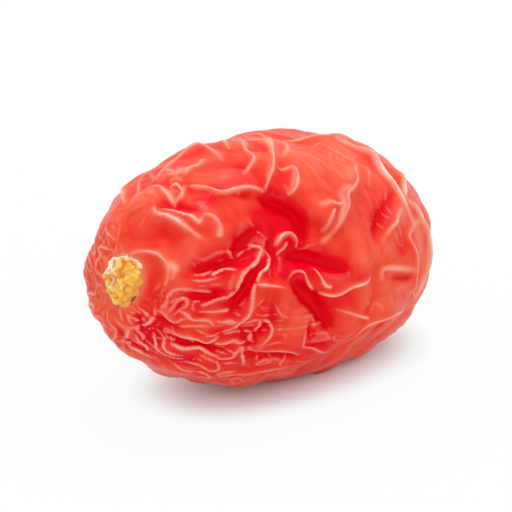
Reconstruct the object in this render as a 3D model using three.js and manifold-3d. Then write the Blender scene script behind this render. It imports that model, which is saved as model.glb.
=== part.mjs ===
// A dried goji berry with the pithy stub of its stalk seated in the stem end.
//
// Millimetres, +Z up. The berry lies on a small flat foot. +X points to the blossom end (the apex) and
// -X to the stem end, which is raised a little. The origin is on the ground under the middle of the berry.
//
// A place on the berry is given by two numbers: `along`, from -1 at the stem tip to +1 at the apex, and
// `around`, in degrees about the long axis: 0 is the front (-Y), 90 the top, 180 the back, 270 the underside.

import * as THREE from 'three'
import { ImprovedNoise } from 'three/addons/math/ImprovedNoise.js'
import { mergeVertices } from 'three/addons/utils/BufferGeometryUtils.js'
import Module from 'manifold-3d'

// Driving dimensions, in mm unless a comment says otherwise.
const BERRY_LENGTH = 16
const BERRY_WIDTH = 9.5
const BERRY_HEIGHT = 9.2
const ROUNDNESS = 2.25 // exponent of the long outline: 2 is an ellipse, more is blunter
const APEX_FULLNESS = 0.05 // how much fatter the apex is than the middle, as a fraction
const STEM_END_RAISE = 9.5 // degrees
const FOOT_DEPTH = 0.35 // how much of the rounded underside is flattened
const SKIN_DETAIL = 18 // subdivisions of each icosahedron edge

const STUB_RADIUS = 0.88
const STUB_PROUD = 0.35 // how far the stub stands out of the stem tip
const STUB_LIFT = 0.3 // the stub sits a little above the long axis
const SOCKET_DEPTH = 0.95 // from the stem tip
const SOCKET_GAP = 0.3 // clearance between the stub and the flesh around it

const WRINKLE_RISE = 0.2 // height of the small wrinkles between the named folds
const WRINKLE_SPACING = 1.5

// Broad hollows, where the flesh has sunk in: depth, radius, and the place of the middle.
const HOLLOWS = [
  hollow(1.0, 1.5, [-0.43, 32]), // the pucker, the deepest one
  hollow(0.5, 1.8, [0.2, 135]), // upper back
  hollow(0.7, 1.6, [-0.35, 190]), // back
  hollow(0.25, 1.3, [0.3, -38]), // lower front
  hollow(0.4, 1.2, [1, 0]), // apex dimple
]

// Folds of the skin: height or depth, width, and the places that the fold passes through.
const FOLDS = [
  // Grooves that run out of the pucker: to the stem, down, to the side, to the apex and over the top.
  groove(0.45, 0.45, [-0.5, 33], [-0.65, 36], [-0.82, 31]),
  groove(0.45, 0.45, [-0.56, 28], [-0.66, 12], [-0.76, -4]),
  groove(0.5, 0.5, [-0.38, 12], [-0.3, 0], [-0.12, -12]),
  groove(0.4, 0.5, [-0.34, 26], [-0.22, 19], [-0.1, 11]),
  groove(0.4, 0.6, [-0.42, 62], [-0.34, 50], [-0.27, 33]),
  // Ribs of the front, from the side of the pucker to the apex.
  rib(0.35, 0.35, [-0.36, 14], [-0.2, 7], [0, 13], [0.16, 16], [0.41, 11]),
  rib(0.3, 0.35, [0.22, 70], [0.38, 52], [0.45, 33], [0.42, 11], [0.53, -10]),
  rib(0.3, 0.35, [0.58, 68], [0.65, 40], [0.8, 14], [0.77, -4], [0.6, -16]),
  rib(0.3, 0.35, [0.62, -22], [0.2, -14], [0.06, -21], [-0.15, -27]),
  rib(0.3, 0.35, [-0.1, 36], [0.07, 47], [0.26, 56]),
  // Ribs of the top and of the stem shoulder.
  rib(0.3, 0.35, [-0.6, 101], [-0.52, 82], [-0.35, 66]),
  rib(0.3, 0.35, [0, 94], [-0.22, 75], [-0.35, 66]),
  rib(0.3, 0.4, [-0.56, 122], [-0.3, 122], [-0.25, 105], [-0.3, 82]),
  rib(0.3, 0.4, [-0.7, 112], [-0.76, 82], [-0.74, 60], [-0.7, 47]),
  // Folds low on the front and under the stem.
  groove(0.35, 0.4, [-0.7, -22], [-0.54, -16], [-0.34, -13]),
  rib(0.25, 0.35, [-0.97, -50], [-0.93, -12], [-0.8, -10], [-0.68, -1]),
  groove(0.3, 0.4, [-0.92, -62], [-0.82, -38], [-0.62, -28]),
  rib(0.22, 0.4, [0.25, -48], [0.5, -62], [0.75, -58]),
  // Folds of the back.
  rib(0.35, 0.4, [-0.6, 150], [-0.1, 165], [0.3, 158], [0.6, 170]),
  rib(0.35, 0.4, [-0.7, 205], [-0.15, 212], [0.2, 196], [0.65, 208]),
  rib(0.35, 0.4, [-0.2, 145], [0.1, 112], [0.5, 108], [0.75, 130]),
  groove(0.4, 0.5, [-0.3, 190], [-0.05, 185], [0.25, 178]),
  groove(0.4, 0.5, [-0.4, 182], [-0.62, 172], [-0.8, 165]),
  groove(0.35, 0.5, [-0.35, 200], [-0.3, 220], [-0.2, 236]),
]

function hollow(depth, radius, [along, around]) {
  return { depth, radius, along, around }
}

function rib(rise, width, ...path) {
  return { rise, width, path }
}

function groove(depth, width, ...path) {
  return { rise: -depth, width, path }
}

const noise = new ImprovedNoise()
const degrees = THREE.MathUtils.degToRad

function smoothstep(low, high, value) {
  return THREE.MathUtils.smoothstep(value, low, high)
}

// The point of the smooth, unwrinkled berry at a place given by `along` and `around`.
function formPoint(along, around) {
  const girth = (1 - Math.abs(along) ** ROUNDNESS) ** (1 / ROUNDNESS) * (1 + APEX_FULLNESS * along)
  return new THREE.Vector3(
    (BERRY_LENGTH / 2) * along,
    (-BERRY_WIDTH / 2) * girth * Math.cos(degrees(around)),
    (BERRY_HEIGHT / 2) * girth * Math.sin(degrees(around)),
  )
}

// The same point, for a direction of the unit sphere instead of a place.
function formPointToward(direction) {
  const across = Math.hypot(direction.y, direction.z)
  const reach = (Math.abs(direction.x) ** ROUNDNESS + across ** ROUNDNESS) ** (-1 / ROUNDNESS)
  const around = THREE.MathUtils.radToDeg(Math.atan2(direction.z, -direction.y))
  return formPoint(THREE.MathUtils.clamp(direction.x * reach, -1, 1), around)
}

// A fold's path as closely spaced points on the smooth form.
function foldLine(fold) {
  const corners = fold.path.map(([along, around]) => formPoint(along, around))
  const stepLength = fold.width / 3
  const curve = new THREE.CatmullRomCurve3(corners)
  return curve.getSpacedPoints(Math.ceil(curve.getLength() / stepLength))
}

const foldLines = FOLDS.map(foldLine)
const hollowCentres = HOLLOWS.map(({ along, around }) => formPoint(along, around))

// How far the folds lift or sink the skin at a point of the smooth form. Each fold dies away at its ends.
function foldRise(point) {
  let rise = 0
  FOLDS.forEach((fold, index) => {
    const line = foldLines[index]
    let nearest = Infinity
    let place = 0
    line.forEach((spot, step) => {
      const distance = point.distanceTo(spot)
      if (distance < nearest) {
        nearest = distance
        place = step / (line.length - 1)
      }
    })
    const fade = 0.35 + 0.65 * Math.sin(Math.PI * place)
    rise += fold.rise * fade * Math.exp(-((nearest / fold.width) ** 2))
  })
  return rise
}

function hollowDepth(point) {
  return HOLLOWS.reduce((total, { depth, radius }, index) => {
    const distance = point.distanceTo(hollowCentres[index])
    return total + depth * Math.exp(-((distance / radius) ** 2))
  }, 0)
}

// Small wrinkles: narrow crests of a noise field whose places are pushed about by a slower one.
function wrinkleRise(point) {
  const p = point.clone().divideScalar(WRINKLE_SPACING)
  const push = noise.noise(p.x * 0.5 + 7, p.y * 0.5, p.z * 0.5)
  const value = noise.noise(p.x + push, p.y - push, p.z + 2 * push)
  const crest = 1 - 2.5 * Math.abs(value)
  return WRINKLE_RISE * crest
}

// Where the stub's axis meets the stem end.
const stubSeat = formPoint(-1, 0).add(new THREE.Vector3(0, 0, STUB_LIFT))

// Turns a closed three.js geometry into a solid that can be cut.
const wasm = await Module()
wasm.setup()

function solidOf(geometry) {
  const bare = geometry.clone()
  bare.deleteAttribute('normal')
  bare.deleteAttribute('uv')
  const merged = mergeVertices(bare, 1e-4)
  return new wasm.Manifold(
    new wasm.Mesh({
      numProp: 3,
      vertProperties: new Float32Array(merged.attributes.position.array),
      triVerts: new Uint32Array(merged.index.array),
    }),
  )
}

function geometryOf(solid) {
  const mesh = solid.getMesh()
  const geometry = new THREE.BufferGeometry()
  geometry.setAttribute('position', new THREE.BufferAttribute(new Float32Array(mesh.vertProperties), 3))
  geometry.setIndex(new THREE.BufferAttribute(new Uint32Array(mesh.triVerts), 1))
  geometry.computeVertexNormals()
  return geometry
}

// A solid of revolution about the axis of the stub. Its profile is [radius, x] pairs with x falling.
function turnedOnStubAxis(profile, segments) {
  const points = profile.map(([radius, x]) => new THREE.Vector2(radius, -x))
  return new THREE.LatheGeometry(points, segments).rotateZ(Math.PI / 2).translate(0, 0, stubSeat.z)
}

// The wrinkled skin, before its underside is flattened. Its relief fades out round the foot.
function wrinkledForm() {
  const geometry = new THREE.IcosahedronGeometry(1, SKIN_DETAIL)
  const position = geometry.attributes.position
  const raise = new THREE.Matrix4().makeRotationY(degrees(STEM_END_RAISE))
  const forms = []
  for (let i = 0; i < position.count; i++) {
    const direction = new THREE.Vector3().fromBufferAttribute(position, i)
    forms.push(formPointToward(direction))
  }
  const lowest = Math.min(...forms.map((form) => form.clone().applyMatrix4(raise).z))
  forms.forEach((form, i) => {
    const height = form.clone().applyMatrix4(raise).z - lowest
    const awayFromFoot = smoothstep(FOOT_DEPTH, 4 * FOOT_DEPTH, height)
    const fromStemTip = form.distanceTo(stubSeat)
    const awayFromSocket = smoothstep(STUB_RADIUS + SOCKET_GAP, 2.5 * STUB_RADIUS, fromStemTip)
    const relief = foldRise(form) + wrinkleRise(form) * awayFromSocket - hollowDepth(form)
    form.setLength(form.length() + relief * awayFromFoot)
    position.setXYZ(i, form.x, form.y, form.z)
  })
  geometry.applyMatrix4(raise)
  return geometry
}

function socketCutter() {
  const radius = STUB_RADIUS + SOCKET_GAP
  const floor = stubSeat.x + SOCKET_DEPTH
  const outside = stubSeat.x - 1
  const profile = [[0, outside], [radius, outside], [radius, floor - 0.2], [radius - 0.2, floor], [0, floor]]
  return turnedOnStubAxis(profile.reverse(), 28)
}

function footCutter(lowest) {
  const thickness = 2
  const cutter = new THREE.BoxGeometry(2 * BERRY_LENGTH, 2 * BERRY_WIDTH, thickness)
  return cutter.translate(0, 0, lowest + FOOT_DEPTH - thickness / 2)
}

function berryMesh() {
  const form = wrinkledForm()
  form.computeBoundingBox()
  const foot = solidOf(footCutter(form.boundingBox.min.z))
  const socket = solidOf(socketCutter().rotateY(degrees(STEM_END_RAISE)))
  const body = solidOf(form).subtract(foot).subtract(socket)
  const flesh = new THREE.MeshStandardMaterial({ color: 0xe9402f, roughness: 0.38, metalness: 0 })
  const mesh = new THREE.Mesh(geometryOf(body), flesh)
  mesh.name = 'berry'
  return mesh
}

// The stub of the stalk: a short pithy plug, lumpy all over and broken off unevenly.
function stemStubMesh() {
  const root = stubSeat.x + SOCKET_DEPTH - SOCKET_GAP
  const broken = stubSeat.x - STUB_PROUD
  const profile = [
    [0, root],
    [0.55 * STUB_RADIUS, root],
    [0.9 * STUB_RADIUS, root - 0.15],
    [STUB_RADIUS, root - 0.45],
    [STUB_RADIUS, broken + 0.35],
    [0.9 * STUB_RADIUS, broken + 0.12],
    [0.65 * STUB_RADIUS, broken],
    [0.35 * STUB_RADIUS, broken + 0.08],
    [0, broken],
  ]
  const geometry = turnedOnStubAxis(profile, 24)
  const position = geometry.attributes.position
  const lumpSize = 0.45
  const lumpHeight = 0.09
  for (let i = 0; i < position.count; i++) {
    const spot = new THREE.Vector3().fromBufferAttribute(position, i)
    const lump = noise.noise(spot.x / lumpSize, spot.y / lumpSize + 3, spot.z / lumpSize)
    const shrink = 1 + (lumpHeight * Math.min(lump, 0)) / STUB_RADIUS
    position.setXYZ(i, spot.x, spot.y * shrink, stubSeat.z + (spot.z - stubSeat.z) * shrink)
  }
  geometry.rotateY(degrees(STEM_END_RAISE))
  const pith = new THREE.MeshStandardMaterial({ color: 0xf3a850, roughness: 0.8, metalness: 0 })
  const mesh = new THREE.Mesh(geometryOf(solidOf(geometry)), pith)
  mesh.name = 'stem_stub'
  return mesh
}

const goji = new THREE.Group()
goji.add(berryMesh(), stemStubMesh())

// Stand the berry on the ground, centred under its outline.
const bounds = new THREE.Box3().setFromObject(goji)
const centre = bounds.getCenter(new THREE.Vector3())
goji.position.set(-centre.x, -centre.y, -bounds.min.z)

export default goji
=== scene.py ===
"""A dried goji berry on a pale floor: its wrinkled, glossy skin and the pithy stub of its stalk.

The skin is a fine closed net laid over the flesh (the CAD body, smoothed). The flesh has lost water and
shrunk, so the net is too large for it: it is relaxed until it lies against the flesh in smooth facets and
gathers between them into narrow ribs. Listed ribs and grooves decide where the main ones run.

Lengths are in millimetres until a mesh is made; the scene is in metres. A place on the berry is given by
`along`, from -1 at the stem tip to +1 at the apex, and `around`, in degrees about the long axis: 0 is the
front (-Y), 90 the top, 180 the back and 270 the underside.
"""

import math

import bpy
import numpy as np
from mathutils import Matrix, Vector
from mathutils.bvhtree import BVHTree


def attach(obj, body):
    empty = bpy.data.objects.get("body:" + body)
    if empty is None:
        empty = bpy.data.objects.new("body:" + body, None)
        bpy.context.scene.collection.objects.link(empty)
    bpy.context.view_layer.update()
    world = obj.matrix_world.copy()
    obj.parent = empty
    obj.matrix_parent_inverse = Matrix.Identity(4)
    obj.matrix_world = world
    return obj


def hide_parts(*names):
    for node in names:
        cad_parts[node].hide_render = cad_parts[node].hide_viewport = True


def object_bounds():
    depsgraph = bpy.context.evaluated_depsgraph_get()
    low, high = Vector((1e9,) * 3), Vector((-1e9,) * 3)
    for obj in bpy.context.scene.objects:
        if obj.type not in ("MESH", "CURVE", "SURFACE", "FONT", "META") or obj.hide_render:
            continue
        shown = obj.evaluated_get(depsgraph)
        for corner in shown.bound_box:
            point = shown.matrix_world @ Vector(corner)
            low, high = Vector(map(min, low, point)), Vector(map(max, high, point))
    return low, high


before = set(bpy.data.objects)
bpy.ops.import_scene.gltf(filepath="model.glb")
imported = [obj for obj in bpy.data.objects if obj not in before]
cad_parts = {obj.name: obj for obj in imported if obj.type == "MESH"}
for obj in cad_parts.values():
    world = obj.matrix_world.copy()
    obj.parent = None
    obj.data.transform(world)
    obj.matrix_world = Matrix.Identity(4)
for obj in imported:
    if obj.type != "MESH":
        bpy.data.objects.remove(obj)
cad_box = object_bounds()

MM = 0.001

# ------------------------------------------------------------------------------------------------------------
# The berry's form, as in the CAD body (mm, degrees)
# ------------------------------------------------------------------------------------------------------------

HALF_LENGTH = 8.0
HALF_WIDTH = 4.75
HALF_HEIGHT = 4.6
ROUNDNESS = 2.25  # exponent of the long outline: 2 is an ellipse, more is blunter
APEX_FULLNESS = 0.05  # how much fatter the apex is than the middle
STEM_END_RAISE = 9.5
BERRY_MIDDLE = np.array((0.154, 0.058, 4.534))  # middle of the long axis, from the origin on the ground
STUB_LIFT = 0.3  # the stub sits a little above the long axis

# ------------------------------------------------------------------------------------------------------------
# The skin
# ------------------------------------------------------------------------------------------------------------

SKIN_LEVELS = 4  # how many times the coarsest net is split in four
FIRST_SHRINK_LEVEL = 2
SHRINK_ROUNDS = {2: 300, 3: 250, 4: 120}
SLACK = 0.11  # how much longer the skin is than the flesh under it, as a fraction
SLACK_VARIATION = 0.4
SUCTION = {2: 0.006, 3: 0.006, 4: 0.01}  # pull onto the flesh in each round, in net edges
STIFFNESS = {2: 0.2, 3: 0.15, 4: 0.08}
FOLLOW = 0.95  # how much of its edges' pull a point of the skin follows in a round
DRAG = 0.01  # how much of its sideways slip over the flesh is taken back in a round
HIGHEST_WRINKLE = 0.22  # of the wrinkles that form by themselves
ABOVE_HIGHEST = 0.3  # how much of its height past the highest the skin keeps in a round
LOWEST_RIB = 0.85  # how low a placed rib may sink, as a fraction of its height
BELOW_LOWEST = 0.15  # how much of its depth below that the skin keeps in a round
FLESH_SMOOTHING = 3  # rounds, as for the next two
FINER_SMOOTHING = 2
MOUND_SMOOTHING = 2
LAST_SLACK = 1.15  # how much more slack the finest net has, for the finest wrinkles
LEAST_SLACK = 0.02
SLACK_USED_BY_RIBS = 0.6  # the share of its slack that a high rib has used up
USING_RIBS = (0.10, 0.25)  # the rib heights over which that share is reached
SLACK_FROM_STUB = (0.95, 1.4)  # the slack sets in between these distances from the stub
FIRST_RIPPLE = 0.06  # size of the ripples that the skin starts with, from which wrinkles grow
FIRST_RIPPLE_SPACINGS = (1.3, 0.62)
FIRST_LIFT = 0.02
SEED = 3

# Where the skin is more or less slack than elsewhere: extra slack, radius, place.
SLACK_PATCHES = [
    (0.03, 2.0, (-0.84, -40)),  # under the stem end, full of fine wrinkles
    (0.03, 1.6, (-0.55, 108)),  # the stem shoulder
    (-0.06, 2.2, (0.14, 72)),  # smooth shoulder above the pucker
    (-0.05, 1.6, (0.62, 25)),  # smooth cheek at the apex
    (-0.05, 1.3, (-0.80, 58)),  # smooth patch above the stub
    (-0.05, 1.3, (0.28, -3)),  # smooth patch on the lower side
    (-0.07, 2.6, (0.92, -80)),  # the apex has fine folds only
    (-0.06, 2.4, (0.95, 60)),
]

# The section of a placed rib, and how uneven it is.
RIB_BOLDNESS = 1.25
CREST_SHARPNESS = 2.0
FLANK = 0.35  # the share of a rib's height that its broad flanks have
FLANK_WIDTH = 3.2  # in rib widths
RIB_UNEVENNESS_SPACING = 0.9
FOLD_REACH = 7  # past this many widths from its line, a fold is left out

# Fine wavy folds: how far apart they are, along and around, then the height, radius and place of each patch.
FOLD_LINE_WIDTH = 0.065
WAVE_PUSH = 0.5  # how far the waves push a fold aside
WAVE_SPACING = 1.4
LEAST_SLOPE = 0.05  # keeps a line from spreading where the noise is flat
LEAST_GIRTH = 0.4  # nearer the tips than this, the folds close up no further
CLOSING_UP = 0.4  # exponent by which they close up towards the tips
FINER_FOLDS = 0.62  # spacing of a second set of folds, as a fraction of the first set's
FINER_FOLD_HEIGHT = 0.6  # and their height
FOLDS_FROM_STUB = (0.9, 1.3)  # the fine folds set in between these distances from the stub
FOLDS_FROM_TIPS = (0.4, 1.4)  # and between these distances from the long axis
FINE_FOLD_SPACING = (1.7, 0.55)
FINE_FOLDS = [
    (0.16, 1.9, (-0.94, -60)),
    (0.15, 1.7, (-0.93, -125)),
    (0.13, 1.6, (-0.93, 170)),
    (0.10, 1.2, (-0.92, 140)),
    (0.17, 2.3, (-0.84, -38)),
    (0.17, 2.3, (-0.60, -32)),
    (0.11, 1.8, (-0.25, -32)),
    (0.10, 1.8, (-0.60, 112)),
    (0.09, 1.5, (-0.15, 100)),
    (0.10, 1.6, (-0.72, 8)),
    (0.09, 3.6, (-0.5, 200)),
    (0.09, 3.6, (0.3, 180)),
    (0.09, 3.0, (0.3, -90)),
    (0.09, 2.4, (0.80, -50)),
    (0.09, 2.6, (0.85, 120)),
    (0.06, 2.2, (0.95, 20)),
    (0.08, 1.6, (0.55, 110)),
]
CROSS_FOLD_SPACING = (0.6, 1.6)  # shallow folds that run round the berry instead
CROSS_FOLDS = [
    (0.07, 2.8, (0.15, 70)),
    (0.07, 2.2, (0.35, 25)),
    (0.06, 1.8, (0.2, -5)),
    (0.07, 1.8, (-0.75, 110)),
]

# The sharp folds along the far rim of the apex.
RIM_FOLD = [(0.35, 79), (0.43, 73), (0.49, 66), (0.46, 57), (0.42, 49), (0.44, 42), (0.47, 34), (0.52, 27)]
END_FOLD = [(0.54, 38), (0.60, 33), (0.62, 26), (0.67, 18), (0.69, 10), (0.67, 2), (0.63, -8), (0.59, -17)]

# Ribs that stand on the skin: height, width, and the places that each runs through.
RIBS = [
    # over the stem shoulder
    (0.24, 0.14, [(-0.62, 108), (-0.51, 109), (-0.39, 109), (-0.31, 106), (-0.33, 98), (-0.38, 87)]),
    (0.18, 0.12, [(-0.60, 91), (-0.54, 92), (-0.47, 93), (-0.41, 97)]),
    (0.20, 0.14, [(-0.79, 119), (-0.73, 126), (-0.62, 132), (-0.52, 130), (-0.45, 127)]),
    (0.20, 0.13, [(-0.70, 110), (-0.70, 100), (-0.72, 94), (-0.74, 86), (-0.75, 79)]),
    (0.14, 0.11, [(-0.72, 93), (-0.66, 91), (-0.69, 83), (-0.74, 80)]),
    (0.24, 0.13, [(-0.80, 91), (-0.83, 83), (-0.82, 74), (-0.81, 64), (-0.80, 56), (-0.78, 46)]),
    (0.16, 0.11, [(-0.81, 86), (-0.79, 77), (-0.78, 69), (-0.76, 62), (-0.75, 57), (-0.71, 60)]),
    (0.16, 0.12, [(-0.72, 61), (-0.69, 56), (-0.69, 50), (-0.71, 45), (-0.73, 46)]),
    (0.14, 0.14, [(-0.94, 60), (-0.93, 45), (-0.91, 33), (-0.92, 24), (-0.93, 18)]),
    # over the pucker
    (0.26, 0.13, [(-0.63, 84), (-0.61, 76), (-0.58, 68), (-0.51, 66), (-0.44, 64), (-0.36, 60)]),
    (0.24, 0.13, [(0.01, 92), (-0.10, 82), (-0.17, 76), (-0.24, 69), (-0.31, 64), (-0.36, 60)]),
    (0.18, 0.13, [(-0.01, 104), (-0.02, 96), (-0.05, 88)]),
    (0.18, 0.12, [(-0.24, 69), (-0.20, 66), (-0.13, 65), (-0.15, 60), (-0.20, 55), (-0.25, 54), (-0.24, 59)]),
    (0.22, 0.13, [(-0.12, 99), (-0.21, 90), (-0.27, 82), (-0.29, 76), (-0.35, 73), (-0.41, 71)]),
    (0.16, 0.12, [(-0.15, 107), (-0.24, 97), (-0.29, 90)]),
    (0.14, 0.12, [(0.06, 86), (-0.01, 80), (-0.07, 75), (-0.13, 72)]),
    # the folded lips inside the pucker
    (0.26, 0.11, [(-0.45, 31), (-0.41, 34), (-0.36, 34), (-0.33, 30), (-0.33, 26)]),
    (0.18, 0.10, [(-0.38, 31), (-0.42, 27), (-0.47, 24)]),
    (0.26, 0.11, [(-0.60, 34), (-0.56, 30), (-0.58, 25), (-0.62, 21), (-0.67, 17), (-0.70, 11), (-0.71, 5)]),
    (0.20, 0.10, [(-0.56, 32), (-0.53, 25), (-0.54, 18), (-0.58, 14), (-0.60, 9)]),
    (0.26, 0.12, [(-0.26, 14), (-0.24, 9), (-0.22, 6), (-0.17, 4)]),
    # between the pucker and the apex
    (0.22, 0.15, [(0.30, 62), (0.22, 56), (0.18, 51), (0.11, 47), (0.04, 44), (0.0, 38), (-0.08, 31),
                  (-0.17, 27)]),
    (0.16, 0.12, [(-0.09, 45), (-0.04, 41), (0.02, 42)]),
    (0.14, 0.11, [(-0.05, 40), (-0.10, 37), (-0.14, 32)]),
    (0.12, 0.14, [(0.36, 60), (0.30, 54), (0.26, 46)]),
    (0.20, 0.34, [(0.30, 29), (0.32, 26)]),
    (0.20, 0.15, [(0.05, 88), (0.16, 85), (0.27, 83), (0.40, 80), (0.52, 76), (0.60, 69)]),
    (0.26, 0.12, RIM_FOLD),
    (0.18, 0.12, [(0.62, 56), (0.57, 48), (0.53, 42), (0.47, 38)]),
    (0.22, 0.12, END_FOLD),
    (0.24, 0.14, [(0.60, 27), (0.47, 24), (0.40, 20), (0.42, 12), (0.44, 4), (0.46, -2), (0.54, -11),
                  (0.61, -17)]),
    # across the lower side
    (0.26, 0.13, [(-0.24, 2), (-0.16, 1), (-0.08, 3), (0.03, 4), (0.11, 6)]),
    (0.18, 0.12, [(0.19, 2), (0.19, 8), (0.28, 7), (0.44, 3)]),
    (0.24, 0.14, [(0.48, -19), (0.34, -16), (0.22, -15), (0.14, -17), (0.09, -20), (0.06, -25), (0.0, -30)]),
    (0.16, 0.12, [(-0.11, -8), (0.0, -11), (0.10, -14), (0.17, -15)]),
    (0.18, 0.12, [(-0.29, -16), (-0.28, -23), (-0.22, -28), (-0.10, -31), (0.01, -33)]),
    (0.22, 0.12, [(-0.43, 9), (-0.39, 13), (-0.33, 12), (-0.29, 7), (-0.26, 2)]),
    (0.20, 0.12, [(-0.61, 9), (-0.55, 8), (-0.50, 7), (-0.43, 5)]),
    (0.16, 0.11, [(-0.80, 19), (-0.74, 21), (-0.67, 19)]),
    # round the stub and below it
    (0.16, 0.12, [(-0.97, 90), (-0.955, 72), (-0.935, 55), (-0.925, 40), (-0.93, 26), (-0.945, 12)]),
    (0.14, 0.12, [(-0.965, 0), (-0.955, -25), (-0.955, -55), (-0.96, -85), (-0.97, -115)]),
    (0.16, 0.12, [(-0.92, -8), (-0.88, -10), (-0.85, -14), (-0.80, -13), (-0.76, -17)]),
    (0.16, 0.12, [(-0.945, -45), (-0.90, -48), (-0.87, -54), (-0.83, -53), (-0.78, -50)]),
    (0.14, 0.11, [(-0.955, -75), (-0.92, -74), (-0.89, -70), (-0.86, -74), (-0.80, -72)]),
    (0.22, 0.12, [(-0.60, 11), (-0.62, 4), (-0.63, -7), (-0.66, -12), (-0.70, -18), (-0.77, -25),
                  (-0.83, -30)]),
    (0.22, 0.11, [(-0.70, 8), (-0.75, 3), (-0.80, -1), (-0.84, -4)]),
    (0.18, 0.11, [(-0.97, -22), (-0.94, -16), (-0.92, -19), (-0.90, -21), (-0.88, -16), (-0.85, -12)]),
    (0.20, 0.12, [(-0.93, -38), (-0.87, -34), (-0.82, -31), (-0.77, -31), (-0.74, -25), (-0.71, -19)]),
    (0.18, 0.12, [(-0.89, -48), (-0.83, -46), (-0.77, -42), (-0.70, -42), (-0.61, -41)]),
    (0.16, 0.12, [(-0.94, -52), (-0.91, -56), (-0.88, -60), (-0.84, -64)]),
    (0.16, 0.12, [(-0.97, -70), (-0.94, -84), (-0.90, -93)]),
    (0.14, 0.12, [(-0.88, -96), (-0.85, -82), (-0.81, -73)]),
    (0.20, 0.12, [(-0.57, -31), (-0.47, -30), (-0.37, -28), (-0.27, -31), (-0.22, -35)]),
    (0.16, 0.12, [(-0.60, -28), (-0.56, -36), (-0.50, -44)]),
    (0.14, 0.12, [(-0.62, -52), (-0.48, -50), (-0.34, -44), (-0.20, -42)]),
    (0.16, 0.11, [(-0.85, -8), (-0.80, -7), (-0.75, -6), (-0.71, -5)]),
    (0.16, 0.11, [(-0.76, -14), (-0.72, -12), (-0.67, -13), (-0.62, -15)]),
    (0.18, 0.12, [(-0.76, -31), (-0.71, -30), (-0.66, -27), (-0.60, -28)]),
    (0.18, 0.12, [(-0.57, -11), (-0.52, -13), (-0.48, -18), (-0.49, -25), (-0.53, -30)]),
    (0.14, 0.11, [(-0.93, -70), (-0.88, -62), (-0.82, -56), (-0.75, -53)]),
    (0.14, 0.11, [(-0.95, -28), (-0.90, -28), (-0.86, -22), (-0.82, -18), (-0.78, -17)]),
]

# Grooves pressed into the flesh: depth, width, and the places that each runs through.
GROOVES = [
    # the star of the pucker: over it, to the apex, down, to the stem and back over
    (0.42, 0.30, [(-0.40, 57), (-0.32, 50), (-0.27, 43), (-0.26, 36), (-0.29, 28)]),
    (0.40, 0.26, [(-0.40, 22), (-0.30, 21), (-0.20, 17), (-0.10, 13), (-0.05, 11)]),
    (0.45, 0.24, [(-0.38, 8), (-0.33, 3), (-0.27, -3), (-0.21, -8), (-0.14, -14), (-0.10, -17)]),
    (0.42, 0.24, [(-0.58, 21), (-0.63, 13), (-0.66, 7), (-0.69, 1), (-0.70, -5)]),
    (0.44, 0.28, [(-0.60, 29), (-0.67, 27), (-0.75, 26), (-0.85, 25)]),
    (0.44, 0.28, [(-0.53, 42), (-0.60, 38), (-0.65, 33), (-0.68, 28)]),
    (0.30, 0.16, [(-0.50, 32), (-0.50, 26), (-0.49, 20), (-0.50, 13)]),
    # between the ribs elsewhere
    (0.22, 0.24, [(-0.78, 88), (-0.76, 79), (-0.74, 71), (-0.72, 64)]),
    (0.24, 0.30, [(0.38, 41), (0.27, 35), (0.21, 30), (0.16, 23)]),
    (0.24, 0.20, [(-0.89, 6), (-0.82, 4), (-0.77, 6)]),
    (0.28, 0.22, [(-0.90, -42), (-0.84, -41), (-0.77, -38), (-0.70, -36), (-0.63, -34)]),
    (0.30, 0.22, [(-0.75, -22), (-0.66, -20), (-0.59, -22), (-0.53, -19), (-0.51, -13)]),
    (0.26, 0.18, [(-0.59, -21), (-0.57, -30)]),
    (0.30, 0.22, [(-0.57, -34), (-0.45, -34), (-0.34, -33), (-0.25, -35)]),
    (0.18, 0.26, [(-0.51, -2), (-0.50, -9), (-0.48, -17)]),
    (0.20, 0.18, [(-0.26, -14), (-0.24, -21)]),
    (0.20, 0.18, [(-0.25, -26), (-0.18, -28), (-0.09, -26)]),
    (0.22, 0.22, [(-0.98, -50), (-0.95, -62)]),
    (0.22, 0.20, [(-0.96, -30), (-0.92, -30), (-0.87, -26)]),
    (0.20, 0.24, [(-0.94, -100), (-0.91, -90), (-0.87, -80), (-0.84, -70)]),
]

# Seeds inside the flesh, which lift it in low mounds. They lie in a spiral from end to end.
SEEDS = 90
SEED_RADIUS = 0.85
SEED_SIZES = (0.75, 1.2)
SEED_LIFT = 0.13
SEED_SPIRAL_END = 0.93  # along
SEED_SPIRAL_TURN = 222.5  # degrees from one seed to the next
SEED_SPIRAL_DISORDER = 25

SOCKET_RADIUS = 0.84
SOCKET_NARROWNESS = 0.86  # its width, as a fraction of its height
SOCKET_DEPTH = 0.75
SOCKET_EDGE = 0.12  # half the width of its sloping edge
SOCKET_SURROUND = 1.9  # nearer the stub than this, the flesh follows the smooth form
COLLAR_HEIGHT = 0.06
COLLAR_RADIUS = 1.1
COLLAR_WIDTH = 0.25


def place(along, around):
    """Points of the smooth form at these places, in the berry's own axes."""
    along = np.asarray(along, float)
    turn = np.radians(np.asarray(around, float))
    girth = np.maximum(1 - np.abs(along) ** ROUNDNESS, 0) ** (1 / ROUNDNESS) * (1 + APEX_FULLNESS * along)
    return np.stack(
        [HALF_LENGTH * along, -HALF_WIDTH * girth * np.cos(turn), HALF_HEIGHT * girth * np.sin(turn)], -1
    )


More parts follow.
